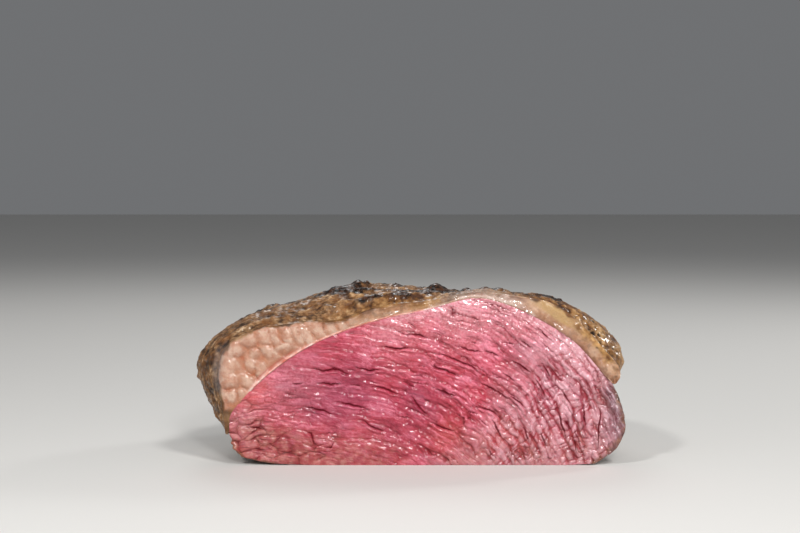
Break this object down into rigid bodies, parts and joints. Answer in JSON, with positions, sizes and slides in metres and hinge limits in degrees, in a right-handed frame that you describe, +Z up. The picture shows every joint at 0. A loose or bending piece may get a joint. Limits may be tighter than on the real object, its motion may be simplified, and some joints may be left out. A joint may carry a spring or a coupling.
{
  "type": "roasted picanha half",
  "caption": "Half of a roasted picanha on its lean side: a pink cut face, a browned fat cap wrapped over it and a rounded tip behind.",
  "frame": {"origin": "underside of the roast, at the middle of its bounding box", "axes": "+X to the right along the cut face, +Y away from the cut face towards the tip, +Z up"},
  "size_m": [0.1682, 0.1192, 0.0696],
  "materials": {
    "lean": "moist pink cut meat with dark fissures along the grain, browned and drier on the outside",
    "fat_cap": "moist cream to golden fat at the cut, with a browned, flaky and partly charred crust outside"
  },
  "bodies": {
    "root": {"lean": "lean", "fat_cap": "fat_cap"}
  },
  "joints": []
}
